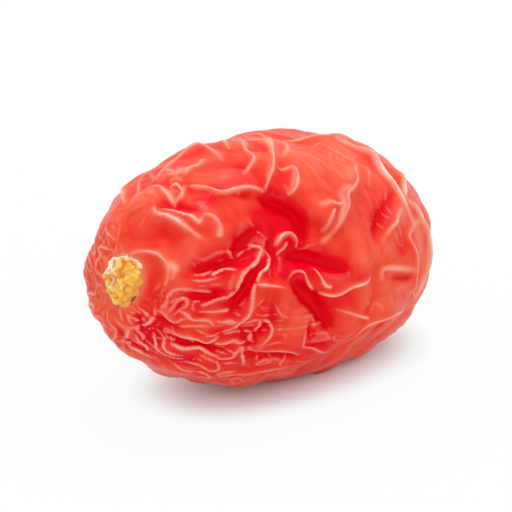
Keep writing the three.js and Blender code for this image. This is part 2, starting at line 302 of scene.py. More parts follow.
def onto_form(points):
    """Points moved straight out from the middle until they lie on the smooth form."""
    across = np.maximum(np.hypot(points[:, 1], points[:, 2]), 1e-9)
    half_girth = (HALF_WIDTH + HALF_HEIGHT) / 2
    reach = (np.abs(points[:, 0]) / HALF_LENGTH) ** ROUNDNESS + (across / half_girth) ** ROUNDNESS
    along = np.clip(points[:, 0] / HALF_LENGTH * reach ** (-1 / ROUNDNESS), -1, 1)
    return place(along, np.degrees(np.arctan2(points[:, 2], -points[:, 1])))


def in_frame(points):
    """From the berry's own axes to the frame: the stem end is raised, and the berry stands on the ground."""
    turn = math.radians(STEM_END_RAISE)
    x, y, z = points.T
    cos, sin = math.cos(turn), math.sin(turn)
    return np.stack([x * cos + z * sin, y, z * cos - x * sin], 1) + BERRY_MIDDLE


STUB_SEAT = place(-1, 0) + (0, 0, STUB_LIFT)

# ------------------------------------------------------------------------------------------------------------
# Nets: closed triangle meshes, each made by splitting a coarser one
# ------------------------------------------------------------------------------------------------------------


class Net:
    """Points, triangles and, for each point, its neighbours as columns (a spare column repeats the point)."""

    def __init__(self, points, triangles, parents=None):
        self.points = points
        self.triangles = triangles
        self.parents = parents  # for each point that a split added, the two ends of the edge it halves
        ends = net_edges(triangles)[0]
        start = np.concatenate([ends[:, 0], ends[:, 1]])
        end = np.concatenate([ends[:, 1], ends[:, 0]])
        order = np.argsort(start, kind="stable")
        start, end = start[order], end[order]
        count = len(points)
        column = np.arange(len(start)) - np.searchsorted(start, np.arange(count))[start]
        table = np.repeat(np.arange(count)[:, None], column.max() + 1, 1)
        table[start, column] = end
        self.neighbours = np.ascontiguousarray(table.T)
        self.degree = np.bincount(start, minlength=count)

    def mean_of_neighbours(self, values):
        total = sum(values[column] for column in self.neighbours)
        spare = (len(self.neighbours) - self.degree).astype(values.dtype)
        degree = self.degree.astype(values.dtype)
        if values.ndim == 2:
            spare, degree = spare[:, None], degree[:, None]
        return (total - values * spare) / degree

    def smoothed(self, values, rounds, strength=0.5):
        for _ in range(rounds):
            values = values + (self.mean_of_neighbours(values) - values) * values.dtype.type(strength)
        return values

    def normals(self, points):
        a, b, c = (points[corner] for corner in self.triangles.T)
        face = np.cross(b - a, c - a)
        total = np.zeros((len(points), 3))
        for corner in self.triangles.T:
            for axis in range(3):
                total[:, axis] += np.bincount(corner, face[:, axis], len(points))
        return total / np.linalg.norm(total, axis=1, keepdims=True)

    def refined(self, values, finer):
        """Values carried over to the next finer net."""
        first, second = finer.parents.T
        return np.concatenate([values, (values[first] + values[second]) / 2])


def net_edges(triangles):
    """Each edge once, and for each side of each triangle the number of its edge."""
    sides = np.concatenate([triangles[:, [0, 1]], triangles[:, [1, 2]], triangles[:, [2, 0]]])
    sides.sort(1)
    edges, number = np.unique(sides, axis=0, return_inverse=True)
    return edges, number.reshape(3, -1)


def split_net(net, settle):
    """Every triangle in four. `settle` moves the points onto the form."""
    edges, (ab, bc, ca) = net_edges(net.triangles)
    middles = (net.points[edges[:, 0]] + net.points[edges[:, 1]]) / 2
    a, b, c = net.triangles.T
    ab, bc, ca = (side + len(net.points) for side in (ab, bc, ca))
    quarters = [(a, ab, ca), (ab, b, bc), (ca, bc, c), (ab, bc, ca)]
    triangles = np.concatenate([np.stack(quarter, 1) for quarter in quarters])
    return Net(settle(np.concatenate([net.points, middles])), triangles, edges)


def long_ball():
    """A long 30-sided ball: a tip, three rings of five points, and a tip."""
    rings = [(x, math.sqrt(1 - x * x), shift) for x, shift in ((-0.62, 0.0), (0.0, 0.5), (0.62, 0.0))]
    points = [(-1.0, 0.0, 0.0)]
    for x, radius, shift in rings:
        turns = [2 * math.pi * (k + shift) / 5 for k in range(5)]
        points += [(x, -radius * math.cos(turn), radius * math.sin(turn)) for turn in turns]
    points.append((1.0, 0.0, 0.0))

    def at(ring, k):
        return 1 + 5 * ring + k % 5

    triangles = []
    for k in range(5):
        triangles += [(0, at(0, k), at(0, k + 1)), (16, at(2, k), at(2, k + 1))]
        triangles += [(at(0, k), at(0, k + 1), at(1, k)), (at(0, k + 1), at(1, k + 1), at(1, k))]
        triangles += [(at(1, k), at(1, k + 1), at(2, k + 1)), (at(1, k), at(2, k + 1), at(2, k))]
    points, triangles = np.array(points), np.array(triangles)
    middle = points[triangles].mean(1)
    a, b, c = (points[corner] for corner in triangles.T)
    inward = (np.cross(b - a, c - a) * middle).sum(1) < 0
    triangles[inward] = triangles[inward][:, ::-1]
    return points, triangles


def fine_ball(pieces=5):
    """The long ball with each side cut in `pieces`, so that every triangle becomes pieces squared."""
    corners, faces = long_ball()
    points, triangles, known = [], [], {}

    def number(point):
        key = tuple(np.round(point, 6))
        if key not in known:
            known[key] = len(points)
            points.append(point)
        return known[key]

    for a, b, c in corners[faces]:
        row = {}
        for i in range(pieces + 1):
            for j in range(pieces + 1 - i):
                row[i, j] = number(a + (b - a) * i / pieces + (c - a) * j / pieces)
        for i in range(pieces):
            for j in range(pieces - i):
                triangles.append((row[i, j], row[i + 1, j], row[i, j + 1]))
                if i + j < pieces - 1:
                    triangles.append((row[i + 1, j], row[i + 1, j + 1], row[i, j + 1]))
    return np.array(points), np.array(triangles)


def nets(levels, settle):
    points, triangles = fine_ball()
    made = [Net(settle(points), triangles)]
    for _ in range(levels):
        made.append(split_net(made[-1], settle))
    return made


# ------------------------------------------------------------------------------------------------------------
# Fields over the surface
# ------------------------------------------------------------------------------------------------------------


LATTICE_PRIMES = (374761393, 668265263, 2147483647, 1274126177)  # large primes, which scramble a corner


def lattice_value(ix, iy, iz, seed):
    """A fixed random number from -1 to 1 for each corner of a lattice."""
    for_x, for_y, for_z, for_seed = LATTICE_PRIMES
    mix = (ix * for_x + iy * for_y + iz * for_z + seed * for_seed) & 0xFFFFFFFF
    mix = ((mix ^ (mix >> 13)) * for_seed) & 0xFFFFFFFF
    mix = mix ^ (mix >> 16)
    return (mix & 0xFFFFFF) / float(0xFFFFFF) * 2 - 1


def smooth_noise(points, spacing, seed):
    """Noise from -1 to 1 that changes over `spacing`."""
    scaled = points / spacing
    corner = np.floor(scaled).astype(np.int64)
    part = scaled - corner
    ease = part**3 * (part * (part * 6 - 15) + 10)
    total = 0.0
    for step in np.ndindex(2, 2, 2):
        weight = 1.0
        for axis in range(3):
            weight = weight * (ease[:, axis] if step[axis] else 1 - ease[:, axis])
        total = total + weight * lattice_value(*(corner[:, axis] + step[axis] for axis in range(3)), seed)
    return total


def smoothstep(low, high, value):
    part = np.clip((value - low) / (high - low), 0, 1)
    return part * part * (3 - 2 * part)


def curve_through(corners, steps=12):
    """A smooth curve through the corners, as closely spaced points."""
    corners = np.concatenate([[2 * corners[0] - corners[1]], corners, [2 * corners[-1] - corners[-2]]])
    part = np.linspace(0, 1, steps, endpoint=False)[:, None]
    stretches = []
    for a, b, c, d in zip(corners, corners[1:], corners[2:], corners[3:]):
        bend = (2 * a - 5 * b + 4 * c - d) * part**2 + (3 * b - a - 3 * c + d) * part**3
        stretches.append(0.5 * (2 * b + (c - a) * part + bend))
    return np.concatenate(stretches + [corners[-2:-1]])


def fold_profile(points, places, width, sharp):
    """From 1 on the line through the places to 0 beside it. It dies away towards the ends."""
    line = curve_through(place(*np.transpose(places)))
    reach = FOLD_REACH * width
    close = ((points > line.min(0) - reach) & (points < line.max(0) + reach)).all(1)
    near = points[close]
    nearest = np.full(len(near), np.inf)
    fraction = np.zeros(len(near))
    for step, (start, end) in enumerate(zip(line, line[1:])):
        side = end - start
        offset = near - start
        part = np.clip((offset * side).sum(1) / (side * side).sum(), 0, 1)
        distance = np.sqrt(((offset - part[:, None] * side) ** 2).sum(1))
        closer = distance < nearest
        nearest[closer] = distance[closer]
        fraction[closer] = (step + part[closer]) / (len(line) - 1)
    if sharp:
        uneven = smooth_noise(near, RIB_UNEVENNESS_SPACING, SEED + 50)
        nearest = nearest / (width * (1 + 0.3 * uneven))
        flanks = np.exp(-((nearest / FLANK_WIDTH) ** 2))
        height = ((1 - FLANK) / np.cosh(CREST_SHARPNESS * nearest) + FLANK * flanks) * (1 + 0.2 * uneven)
        height = height * (0.1 + 0.9 * np.sin(np.pi * fraction) ** 0.8)
    else:
        height = np.exp(-((nearest / width) ** 1.4)) * (0.4 + 0.6 * np.sin(np.pi * fraction) ** 0.6)
    profile = np.zeros(len(points))
    profile[close] = height
    return profile


def rib_heights(points):
    """How high the placed ribs stand."""
    heights = np.zeros(len(points))
    for height, width, places in RIBS:
        heights = np.maximum(heights, height * fold_profile(points, places, width, sharp=True))
    return RIB_BOLDNESS * heights


def groove_depths(points, spread=1.0):
    """How deep the grooves are, each `spread` times as wide as it is listed."""
    depths = np.zeros(len(points))
    for depth, width, places in GROOVES:
        depths = np.maximum(depths, depth * fold_profile(points, places, width * spread, sharp=False))
    return depths


def wavy_noise(points, spacing, seed):
    """Noise stretched along the berry and pushed about. It closes up towards the ends."""
    pushes = [WAVE_PUSH * smooth_noise(points, WAVE_SPACING, seed + axis) for axis in range(3)]
    pushed = points + np.stack(pushes, 1)
    girth = np.linalg.norm(pushed[:, 1:], axis=1)
    pushed[:, 1:] *= (HALF_WIDTH / np.maximum(girth, LEAST_GIRTH))[:, None] ** CLOSING_UP
    return smooth_noise(pushed / (spacing[0], spacing[1], spacing[1]), 1.0, seed + 4)


def wavy_lines(points, spacing, seed):
    """1 on the wavy lines where the noise is 0, and 0 beside them."""
    value = wavy_noise(points, spacing, seed)
    steps = [wavy_noise(points + step, spacing, seed) - value for step in np.eye(3) * FOLD_LINE_WIDTH]
    slope = np.linalg.norm(steps, axis=0)  # change over one line width
    return 1 / np.cosh(value / np.maximum(slope, LEAST_SLOPE))


def fine_folds(points, patches, spacing, seed):
    """Fine wavy folds, close together, in the parts of the skin that have them."""
    height = np.zeros(len(points))
    for highest, radius, spot in patches:
        distance = np.linalg.norm(points - place(*spot), axis=1)
        height = np.maximum(height, highest * np.exp(-((distance / radius) ** 4)))
    finer = (FINER_FOLDS * spacing[0], FINER_FOLDS * spacing[1])
    finer_lines = FINER_FOLD_HEIGHT * wavy_lines(points, finer, seed + 10)
    lines = np.maximum(wavy_lines(points, spacing, seed), finer_lines)
    uneven = 0.75 + 0.35 * smooth_noise(points, 0.8, seed + 6)
    girth = np.linalg.norm(points[:, 1:], axis=1)
    from_stub = np.linalg.norm(points - STUB_SEAT, axis=1)
    height = height * lines * uneven * smoothstep(*FOLDS_FROM_STUB, from_stub)
    return height * smoothstep(*FOLDS_FROM_TIPS, girth)


def raised_folds(points):
    """The placed ribs and the fine folds along and round the berry. The highest one counts."""
    heights = np.maximum(rib_heights(points), fine_folds(points, FINE_FOLDS, FINE_FOLD_SPACING, SEED + 40))
    return np.maximum(heights, fine_folds(points, CROSS_FOLDS, CROSS_FOLD_SPACING, SEED + 60))


def seed_mounds(points):
    """The low mounds over the seeds, which lie in a spiral with some disorder."""
    random = np.random.default_rng(SEED)
    turn = np.arange(SEEDS)
    along = -SEED_SPIRAL_END + 2 * SEED_SPIRAL_END * (turn + random.uniform(0, 1, SEEDS)) / SEEDS
    around = SEED_SPIRAL_TURN * turn + random.uniform(-SEED_SPIRAL_DISORDER, SEED_SPIRAL_DISORDER, SEEDS)
    spots = place(along, around)
    size = SEED_RADIUS * random.uniform(*SEED_SIZES, SEEDS)
    mounds = np.zeros(len(points))
    for spot, radius in zip(spots, size):
        distance = np.linalg.norm(points - spot, axis=1) / radius
        mounds = np.maximum(mounds, np.maximum(1 - distance**2, 0) * radius / SEED_RADIUS)
    return SEED_LIFT * mounds


def skin_slack(points, ribs):
    """How much longer the skin is than the flesh under it. The placed ribs use some of their slack up."""
    slack = SLACK * (1 + SLACK_VARIATION * smooth_noise(points, 2.2, SEED + 9))
    for extra, radius, spot in SLACK_PATCHES:
        distance = np.linalg.norm(points - place(*spot), axis=1)
        slack = slack + extra * np.exp(-((distance / radius) ** 2))
    from_stub = np.linalg.norm(points - STUB_SEAT, axis=1)
    used = SLACK_USED_BY_RIBS * smoothstep(*USING_RIBS, ribs)
    return np.maximum(slack, LEAST_SLACK) * (1 - used) * smoothstep(*SLACK_FROM_STUB, from_stub)


# ------------------------------------------------------------------------------------------------------------
# The flesh, and the skin drawn onto it
# ------------------------------------------------------------------------------------------------------------


def flesh_reach(net):
    """How far the CAD body reaches from the middle towards each point of the net, smoothed."""
    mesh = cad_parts["berry"].data
    corners = [vertex.co / MM for vertex in mesh.vertices]
    tree = BVHTree.FromPolygons(corners, [polygon.vertices for polygon in mesh.polygons])
    middle = Vector(BERRY_MIDDLE)
    toward = in_frame(net.points) - BERRY_MIDDLE
    form_reach = np.linalg.norm(toward, axis=1)
    reach = form_reach.copy()
    at_socket = np.linalg.norm(net.points - STUB_SEAT, axis=1) < SOCKET_SURROUND
    for index in np.flatnonzero(~at_socket):
        reach[index] = tree.ray_cast(middle, Vector(toward[index]))[3]
    return net.smoothed(reach / form_reach, FLESH_SMOOTHING)


def socket_depths(points):
    """The socket for the stub, with a low collar of skin round it."""
    from_seat = np.hypot(points[:, 1] / SOCKET_NARROWNESS, points[:, 2] - STUB_SEAT[2])
    at_stem = points[:, 0] < 0
    sunk = SOCKET_DEPTH * smoothstep(SOCKET_RADIUS + SOCKET_EDGE, SOCKET_RADIUS - SOCKET_EDGE, from_seat)
    collar = COLLAR_HEIGHT * np.exp(-(((from_seat - COLLAR_RADIUS) / COLLAR_WIDTH) ** 2))
    return np.where(at_stem, sunk - collar, 0.0)


def shrink_skin(skin_nets):
    """The skin's points after the flesh has shrunk under it, on the finest net."""
    reach = flesh_reach(skin_nets[FIRST_SHRINK_LEVEL])
    lift = None
    for level in range(FIRST_SHRINK_LEVEL, SKIN_LEVELS + 1):
        net = skin_nets[level]
        if level > FIRST_SHRINK_LEVEL:
            reach = net.smoothed(skin_nets[level - 1].refined(reach, net), FINER_SMOOTHING)
            lift = skin_nets[level - 1].refined(lift, net)
        form = in_frame(net.points)
        flesh = BERRY_MIDDLE + (form - BERRY_MIDDLE) * reach[:, None]
        out = net.normals(flesh)
        pattern = flesh
        mounds = net.smoothed(seed_mounds(net.points), MOUND_SMOOTHING)
        sunk = groove_depths(net.points) + socket_depths(net.points) - mounds
        flesh = flesh - out * sunk[:, None]
        out = net.normals(flesh)
        ribs = raised_folds(net.points)
        if lift is None:
            broad, narrow = FIRST_RIPPLE_SPACINGS
            ripple = smooth_noise(net.points, broad, SEED) + smooth_noise(net.points, narrow, SEED + 1)
            lift = out * (ribs + FIRST_RIPPLE * ripple + FIRST_LIFT)[:, None]
        skin = draw_onto_flesh(net, flesh, out, pattern, flesh + lift, ribs, level)
        lift = skin - flesh
    return skin


def draw_onto_flesh(net, flesh, out, pattern, skin, ribs, level):
    """Relaxes the skin: its edges want their own length, it resists bending and is drawn onto the flesh."""
    slack = skin_slack(net.points, ribs) * (LAST_SLACK if level == SKIN_LEVELS else 1)
    flesh, out, skin, ribs = (values.astype(np.float32) for values in (flesh, out, skin, ribs))
    lengths = []
    for column in net.neighbours:
        length = np.linalg.norm(pattern[column] - pattern, axis=1)
        lengths.append((length * (1 + (slack + slack[column]) / 2)).astype(np.float32))
    edge = float(np.mean([length[length > 0].mean() for length in lengths]))
    share = (FOLLOW / net.degree).astype(np.float32)[:, None]
    suction = np.float32(SUCTION[level] * edge)
    stiffness = np.float32(STIFFNESS[level])
    tiny = np.float32(1e-9)
    lowest = ribs * np.float32(LOWEST_RIB)
    highest = np.maximum(ribs, np.float32(HIGHEST_WRINKLE))
    for _ in range(SHRINK_ROUNDS[level]):
        pull = np.zeros_like(skin)
        for column, length in zip(net.neighbours, lengths):
            side = skin[column] - skin
            now = np.sqrt((side * side).sum(1)) + tiny
            pull += side * ((now - length) / now)[:, None]
        skin = skin + pull * share
        bend = net.mean_of_neighbours(skin - flesh) - (skin - flesh)
        skin = skin - stiffness * (net.mean_of_neighbours(bend) - bend)
        offset = skin - flesh
        height = (offset * out).sum(1)
        wanted = height - suction
        low = lowest + (wanted - lowest) * np.float32(BELOW_LOWEST)
        wanted = np.where(wanted < lowest, low, wanted)
        high = highest + (wanted - highest) * np.float32(ABOVE_HIGHEST)
        wanted = np.where(wanted > highest, high, wanted)
        skin = skin + out * (wanted - height)[:, None]
        skin = skin - np.float32(DRAG) * (offset - out * height[:, None])
        skin[:, 2] = np.maximum(skin[:, 2], 0)
    return skin.astype(float)


# ------------------------------------------------------------------------------------------------------------
# Meshes
# ------------------------------------------------------------------------------------------------------------


def mesh_object(name, points, triangles, **marks):
    """A smooth-shaded object from points in millimetres. A mark is a number per point, for the material."""
    mesh = bpy.data.meshes.new(name)
    mesh.vertices.add(len(points))
    mesh.vertices.foreach_set("co", (points * MM).astype(np.float32).ravel())
    mesh.loops.add(triangles.size)
    mesh.loops.foreach_set("vertex_index", triangles.astype(np.int32).ravel())
    mesh.polygons.add(len(triangles))
    mesh.polygons.foreach_set("loop_start", np.arange(0, triangles.size, 3, dtype=np.int32))
    mesh.polygons.foreach_set("use_smooth", np.ones(len(triangles), bool))
    mesh.update(calc_edges=True)
    for mark, values in marks.items():
        mesh.attributes.new(mark, "FLOAT", "POINT").data.foreach_set("value", values.astype(np.float32))
    made = bpy.data.objects.new(name, mesh)
    bpy.context.scene.collection.objects.link(made)
    return made


# ------------------------------------------------------------------------------------------------------------
# Where the skin has its colours
# ------------------------------------------------------------------------------------------------------------

GROOVE_SHADE_SPREAD = 1.8  # how much wider than a groove its painted shade is
FULL_SHADE_DEPTH = 0.4  # a groove this deep gets its painted shade in full
SHADE_SMOOTHING = 4

# How the bends of the skin are told apart: rounds of smoothing, and the height or depth that counts as 1.
CREST_SMOOTHING = 3
CREST_HEIGHT = 0.027
RIDGE_SMOOTHING = 12
RIDGE_HEIGHT = 0.05
HOLLOW_SMOOTHING = 60
HOLLOW_DEPTH = 0.10
HALO_SMOOTHING = 14  # spreads a ridge's painted highlight beside it
HALO_STRENGTH = 2
PALEST = 1.5  # the most that a painted highlight line counts, where 1 is a whole crest
STREAK_STRETCH = (0.35, 1.6, 1.6)  # the streaks run round the berry

# Painted shade: broad strokes of dark red, mostly along the grooves, also over the pucker and the lower side:
# share, width, and the places that each runs through.
SHADE_STROKES = [
    (1.0, 1.50, [(-0.50, 31), (-0.40, 30), (-0.26, 24)]),
    (1.0, 0.85, [(-0.55, 42), (-0.46, 44), (-0.37, 42), (-0.31, 36), (-0.28, 27)]),
    (1.0, 0.70, [(-0.38, 60), (-0.33, 50), (-0.29, 40)]),
    (1.0, 0.80, [(-0.50, 17), (-0.42, 18), (-0.33, 20), (-0.24, 18), (-0.12, 14)]),
    (1.0, 0.60, [(-0.62, 31), (-0.70, 28), (-0.78, 26), (-0.86, 26)]),
    (0.9, 0.55, [(-0.52, 26), (-0.52, 18), (-0.52, 12)]),
    (1.0, 0.50, [(-0.38, 9), (-0.33, 3), (-0.27, -3), (-0.21, -8), (-0.14, -14), (-0.10, -17)]),
    (1.0, 0.45, [(-0.58, 21), (-0.63, 13), (-0.66, 7), (-0.69, 1), (-0.70, -6)]),
    (0.5, 0.60, [(-0.52, -3), (-0.50, -12)]),
    (0.9, 0.40, [(-0.87, 6), (-0.80, 4), (-0.75, 6)]),
    (0.9, 0.35, [(-0.76, -22), (-0.66, -20), (-0.58, -21), (-0.52, -17), (-0.51, -11)]),
    (0.9, 0.30, [(-0.57, -21), (-0.54, -29)]),
    (0.9, 0.40, [(-0.90, -42), (-0.81, -39), (-0.73, -37), (-0.65, -35)]),
    (0.9, 0.40, [(-0.57, -35), (-0.45, -34), (-0.34, -34), (-0.24, -34)]),
    (0.7, 0.30, [(-0.24, -19), (-0.20, -22)]),
    (1.0, 0.60, [(-0.96, -42), (-0.93, -55), (-0.89, -64)]),
    (0.9, 0.45, [(-0.86, -60), (-0.80, -56), (-0.72, -52)]),
    (0.7, 0.30, [(-0.93, -2), (-0.88, -4)]),
    (0.5, 0.45, [(-0.72, 73), (-0.66, 68), (-0.60, 64)]),
    (0.5, 0.35, [(-0.41, 79), (-0.36, 74)]),
    (0.4, 0.30, [(-0.17, 90), (-0.16, 84), (-0.20, 76)]),
    (0.5, 0.30, [(-0.52, 62), (-0.44, 60)]),
    (0.5, 0.45, [(0.34, 42), (0.25, 36), (0.19, 29), (0.15, 20)]),
    (0.6, 0.20, [(0.26, 3), (0.36, 1), (0.42, 0)]),
    (0.4, 0.30, [(0.30, 18), (0.34, 12)]),
    (0.26, 1.60, [(-0.68, 52), (-0.52, 50), (-0.38, 48), (-0.20, 34)]),
    (0.44, 1.30, [(-0.84, -40), (-0.5, -36), (-0.2, -30), (0.1, -24)]),
    (0.24, 1.00, [(-0.90, -10), (-0.80, 0), (-0.70, 0)]),
    (0.90, 0.45, [(-0.56, 36), (-0.64, 30), (-0.74, 27), (-0.86, 26)]),
]

# Painted sheen: pale patches where the skin is painted as if lit: share, width, and the places that it runs
# through.
SHEEN_STROKES = [
    (0.65, 0.50, [(0.55, 28), (0.56, 22), (0.58, 14), (0.58, 4)]),
    (0.70, 0.45, [(0.66, 14), (0.66, 2), (0.62, -8)]),
    (0.60, 0.22, RIM_FOLD),
    (0.60, 0.35, [(0.43, 34), (0.36, 31), (0.31, 26)]),
    (0.32, 1.70, [(-0.15, 84), (0.05, 74), (0.2, 66), (0.4, 60)]),
    (0.20, 0.40, [(0.05, 90), (0.25, 85), (0.45, 79), (0.58, 70)]),
    (0.60, 0.30, [(0.21, 60), (0.17, 55), (0.12, 52)]),
    (0.26, 1.00, [(0.05, 32), (0.25, 26), (0.36, 24)]),
    (0.15, 0.80, [(-0.5, 105), (-0.35, 95), (-0.2, 90)]),
    (0.50, 0.25, [(-0.70, 92), (-0.69, 87)]),
    (0.40, 0.25, [(0.0, 90), (-0.08, 87)]),
    (0.28, 0.90, [(0.2, 2), (0.4, -2), (0.5, -10)]),
    (0.20, 0.60, [(-0.42, -18), (-0.32, -16)]),
    (0.35, 0.30, [(-0.93, 48), (-0.90, 36), (-0.91, 26)]),
]

# Painted highlights, the palest lines along the ridges: share, width, and the places that each runs through.
HIGHLIGHT_LINES = [
    # over the stem shoulder
    (0.8, 0.13, [(-0.62, 107), (-0.55, 107), (-0.45, 110), (-0.38, 109), (-0.31, 106), (-0.32, 98),
                 (-0.38, 87)]),
    (0.7, 0.11, [(-0.60, 91), (-0.54, 92), (-0.47, 93), (-0.41, 97)]),
    (0.7, 0.12, [(-0.79, 119), (-0.73, 126), (-0.66, 128)]),
    (0.6, 0.12, [(-0.73, 106), (-0.70, 98), (-0.71, 92), (-0.73, 86), (-0.75, 80)]),
    (0.7, 0.10, [(-0.63, 87), (-0.69, 84), (-0.74, 81)]),
    (0.8, 0.12, [(-0.80, 91), (-0.83, 83), (-0.82, 74), (-0.81, 64), (-0.80, 56), (-0.78, 46)]),
    (0.6, 0.12, [(-0.72, 61), (-0.69, 56), (-0.69, 50), (-0.71, 45)]),
    (1.1, 0.16, [(-0.93, 38), (-0.91, 32), (-0.91, 27)]),
    # over the pucker
    (0.9, 0.12, [(-0.63, 84), (-0.61, 76), (-0.58, 68), (-0.51, 66), (-0.44, 64), (-0.36, 60)]),
    (0.9, 0.12, [(0.01, 92), (-0.06, 88), (-0.11, 82), (-0.17, 76), (-0.20, 71)]),
    (0.6, 0.12, [(0.05, 88), (0.02, 82), (-0.02, 78), (-0.08, 75), (-0.14, 72)]),
    (0.7, 0.12, [(-0.09, 104), (-0.13, 99), (-0.20, 90), (-0.27, 82), (-0.29, 76), (-0.35, 73), (-0.41, 71)]),
    (0.7, 0.12, [(-0.13, 66), (-0.16, 61), (-0.20, 57), (-0.24, 55)]),
    (1.2, 0.12, [(-0.45, 31), (-0.41, 34), (-0.36, 34), (-0.33, 30)]),
    # between the pucker and the apex
    (0.8, 0.14, [(0.10, 49), (0.02, 46), (0.0, 42), (-0.03, 37), (-0.08, 31), (-0.12, 28), (-0.17, 26)]),
    (0.6, 0.12, [(-0.08, 37), (-0.12, 33), (-0.16, 31)]),
    (0.6, 0.12, [(-0.14, 44), (-0.09, 43), (-0.04, 42)]),
    (0.7, 0.16, [(0.05, 90), (0.25, 85), (0.40, 80), (0.52, 76), (0.60, 68)]),
    (1.5, 0.16, RIM_FOLD),
    (1.3, 0.13, [(0.62, 56), (0.57, 48), (0.51, 40)]),
    (1.4, 0.17, END_FOLD),
    (0.8, 0.13, [(0.60, 27), (0.50, 24), (0.43, 20), (0.43, 12), (0.44, 4)]),
    (0.7, 0.12, [(0.18, 2), (0.19, 8), (0.30, 7), (0.42, 4), (0.46, 2)]),
]


def strokes(points, listed):
    """The shares of soft brush strokes, where the strongest one counts."""
    shares = np.zeros(len(points))
    for share, width, places in listed:
        shares = np.maximum(shares, share * fold_profile(points, places, width, sharp=False))
    return shares


def skin_marks(net, points):
    """What the skin's colours go by, at each point: how it bends, and where shade and highlights are painted
    on it.
    """
    out = net.normals(points)
    nearby = net.smoothed(points, CREST_SMOOTHING)
    around = net.smoothed(nearby, RIDGE_SMOOTHING)
    wide = net.smoothed(around, HOLLOW_SMOOTHING)
    # painted highlight on the sharpest crests, and along the highlight lines
    crest_highlight = ((points - nearby) * out).sum(1) / CREST_HEIGHT
    crest_highlight = np.clip(crest_highlight, -1, 1) * (0.8 + 0.4 * smooth_noise(net.points, 0.9, SEED + 32))
    highlight_lines = strokes(net.points, HIGHLIGHT_LINES) * (0.8 + 0.4 * smooth_noise(net.points, 0.7, SEED + 33))
    # ridge: painted highlight on the ridges, painted shade in the valleys between them; it also sets the
    # gloss
    ridge = ((nearby - around) * out).sum(1) / RIDGE_HEIGHT
    # painted highlight spread beside the ridges
    highlight_halo = net.smoothed(np.clip(ridge, 0, 1), HALO_SMOOTHING) * HALO_STRENGTH
    # painted shade in the broad hollows
    hollow = ((wide - nearby) * out).sum(1) / HOLLOW_DEPTH
    # painted shade: dark red along the grooves, widened and smoothed, and the shade strokes
    painted_shade = net.smoothed(groove_depths(net.points, GROOVE_SHADE_SPREAD), SHADE_SMOOTHING) / FULL_SHADE_DEPTH
    stretched = net.points / STREAK_STRETCH
    streak = smooth_noise(stretched, 1.0, SEED + 30) + 0.6 * smooth_noise(stretched, 0.5, SEED + 31)
    return {
        "crest_highlight": np.clip(np.maximum(crest_highlight, highlight_lines), -1, PALEST),
        "ridge": np.clip(ridge, -1, 1),
        "highlight_halo": np.clip(highlight_halo, 0, 1),
        "hollow": np.clip(hollow, -1, 1),
        "painted_shade": np.maximum(painted_shade, strokes(net.points, SHADE_STROKES)),
        "painted_sheen": strokes(net.points, SHEEN_STROKES),
        "streak": streak,
    }


def make_skin():
    """The whole skin as one closed mesh, with its marks."""
    skin_nets = nets(SKIN_LEVELS, onto_form)
    points = shrink_skin(skin_nets)
    finest = skin_nets[-1]
    return mesh_object("goji_skin", points, finest.triangles, **skin_marks(finest, points))


# ------------------------------------------------------------------------------------------------------------
# The stub of the stalk
# ------------------------------------------------------------------------------------------------------------

STUB_RADIUS = 0.93
STUB_NARROWNESS = 0.86  # its width, as a fraction of its height
STUB_PROUD = 0.45
STUB_DEPTH = 0.6
STUB_LEVELS = 3  # how many times its coarsest net is split in four
STUB_BLUNTNESS = 2.8  # exponent of its outline: 2 is an ellipse
STUB_LUMPS = 30
LUMP_HEIGHTS = (-0.08, 0.12)
LUMP_SMOOTHING = 5
TEAR = 0.11  # how far the edges of the lumps are torn aside
CREVICE_WIDTH = 0.12
CREVICE_DEPTH = 0.05
CRUMBS_PER_MM2 = 8
CRUMB_RADIUS = 0.055
CRUMB_SMALLEST = (0.6, 0.35, 0.35)  # as fractions of the radius
CRUMB_LARGEST = (2.0, 0.9, 0.9)
ANY_TURN = (6.28, 6.28, 6.28)  # radians about each axis


def stub_form(points):
    """A blunt plug about the long axis, taller than it is wide."""
    size = np.array(((STUB_PROUD + STUB_DEPTH) / 2, STUB_RADIUS * STUB_NARROWNESS, STUB_RADIUS))
    across = np.hypot(points[:, 1], points[:, 2])
    reach = (np.abs(points[:, 0]) ** STUB_BLUNTNESS + across**STUB_BLUNTNESS) ** (-1 / STUB_BLUNTNESS)
    return points * reach[:, None] * size


